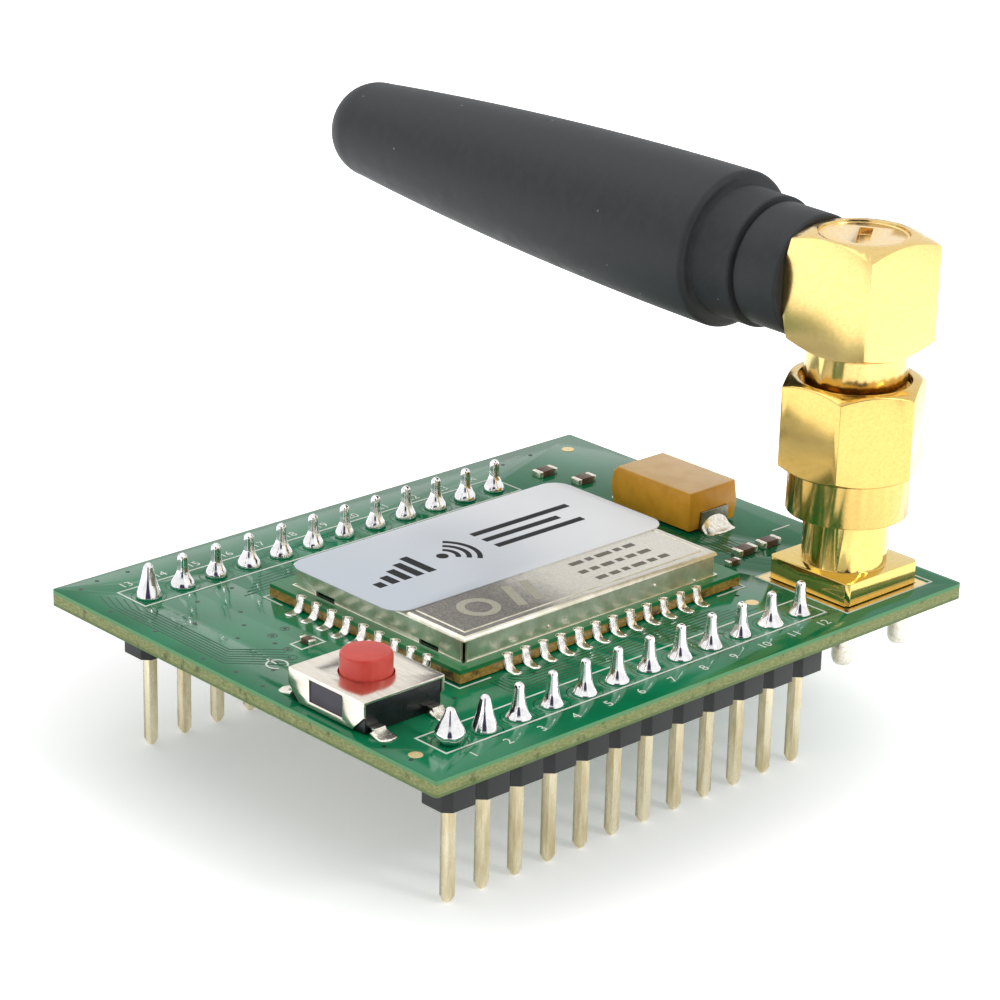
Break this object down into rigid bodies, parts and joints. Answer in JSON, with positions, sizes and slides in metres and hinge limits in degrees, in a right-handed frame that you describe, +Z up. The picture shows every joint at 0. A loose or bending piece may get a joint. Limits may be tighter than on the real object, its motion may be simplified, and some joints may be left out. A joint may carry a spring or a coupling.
{
  "type": "gsm module",
  "caption": "Phone-network radio module on a pin-header carrier board, with a push button, a screw-on coaxial jack and a short right-angle rubber antenna.",
  "frame": {"origin": "centre of the grid of header pins, on the plane of the pin tips", "axes": "+X along the pin rows towards the antenna jack's side, +Y across the rows in the antenna's direction, +Z up from the pin tips to the board"},
  "size_m": [0.043, 0.0513, 0.0332],
  "materials": {
    "carrier_board": "gloss",
    "module_laminate": "satin",
    "header_plastic": "matte",
    "pin_metal": "satin",
    "solder": "polished",
    "tinned_steel": "polished",
    "label_film": "gloss",
    "chip_resin": "matte",
    "switch_plastic": "matte",
    "switch_steel": "satin",
    "button_plastic": "satin",
    "spring_steel": "satin",
    "capacitor_resin": "matte",
    "chip_ceramic": "matte",
    "gold_brass": "polished",
    "white_insulator": "satin",
    "black_rubber": "satin"
  },
  "bodies": {
    "board": {"back_header_strip": "header_plastic", "back_pin_01": "pin_metal", "back_pin_02": "pin_metal", "back_pin_03": "pin_metal", "back_pin_04": "pin_metal", "back_pin_05": "pin_metal", "back_pin_06": "pin_metal", "back_pin_07": "pin_metal", "back_pin_08": "pin_metal", "back_pin_09": "pin_metal", "back_pin_10": "pin_metal", "back_pin_11": "pin_metal", "back_pin_12": "pin_metal", "back_pin_solder": "solder", "can_label": "label_film", "capacitor_body": "capacitor_resin", "capacitor_terminals": "tinned_steel", "chip_bodies": "chip_ceramic", "chip_ends": "solder", "front_header_strip": "header_plastic", "front_pin_01": "pin_metal", "front_pin_02": "pin_metal", "front_pin_03": "pin_metal", "front_pin_04": "pin_metal", "front_pin_05": "pin_metal", "front_pin_06": "pin_metal", "front_pin_07": "pin_metal", "front_pin_08": "pin_metal", "front_pin_09": "pin_metal", "front_pin_10": "pin_metal", "front_pin_11": "pin_metal", "front_pin_12": "pin_metal", "front_pin_solder": "solder", "holder_base": "switch_plastic", "holder_contacts": "gold_brass", "holder_shell": "tinned_steel", "jack_body": "gold_brass", "jack_contact": "gold_brass", "jack_insulator": "white_insulator", "jack_solder": "solder", "main_board": "carrier_board", "modem_chip": "chip_resin", "module_board": "module_laminate", "module_solder": "solder", "power_chip": "chip_resin", "shield_can": "tinned_steel", "surface_solder": "solder", "switch_base": "switch_plastic", "switch_cover": "switch_steel", "switch_dome": "spring_steel", "switch_terminals": "switch_steel"},
    "button": {"switch_button": "button_plastic"},
    "ring": {"retaining_ring": "spring_steel"},
    "nut": {"coupling_nut": "gold_brass"},
    "antenna": {"elbow_body": "gold_brass", "elbow_cap": "gold_brass", "elbow_insulator": "white_insulator", "plug_pin": "gold_brass", "antenna_sheath": "black_rubber", "antenna_coil": "spring_steel"}
  },
  "joints": [
    {"name": "button_press", "type": "slide", "parent": "board", "child": "button", "axis": [0, 0, -1], "range_m": [0, 0.00025], "stiffness_N_per_m": 4000, "springref_m": -0.0001, "deforming": ["switch_dome"]},
    {"name": "unscrew_lift", "type": "slide", "parent": "board", "child": "ring", "axis": [0, 0, 1], "range_m": [0, 0.00494]},
    {"name": "nut_turn", "type": "hinge", "parent": "ring", "child": "nut", "pos_m": [0.01982, -0.01154, 0.019], "axis": [0, 0, 1], "range_deg": [0, 2520]},
    {"name": "antenna_swivel", "type": "hinge", "parent": "ring", "child": "antenna", "pos_m": [0.01982, -0.01154, 0.028], "axis": [0, 0, 1], "continuous": true}
  ],
  "couplings": [
    {"joint": "nut_turn", "follows": "unscrew_lift", "rad_per_m": 8905.3}
  ]
}
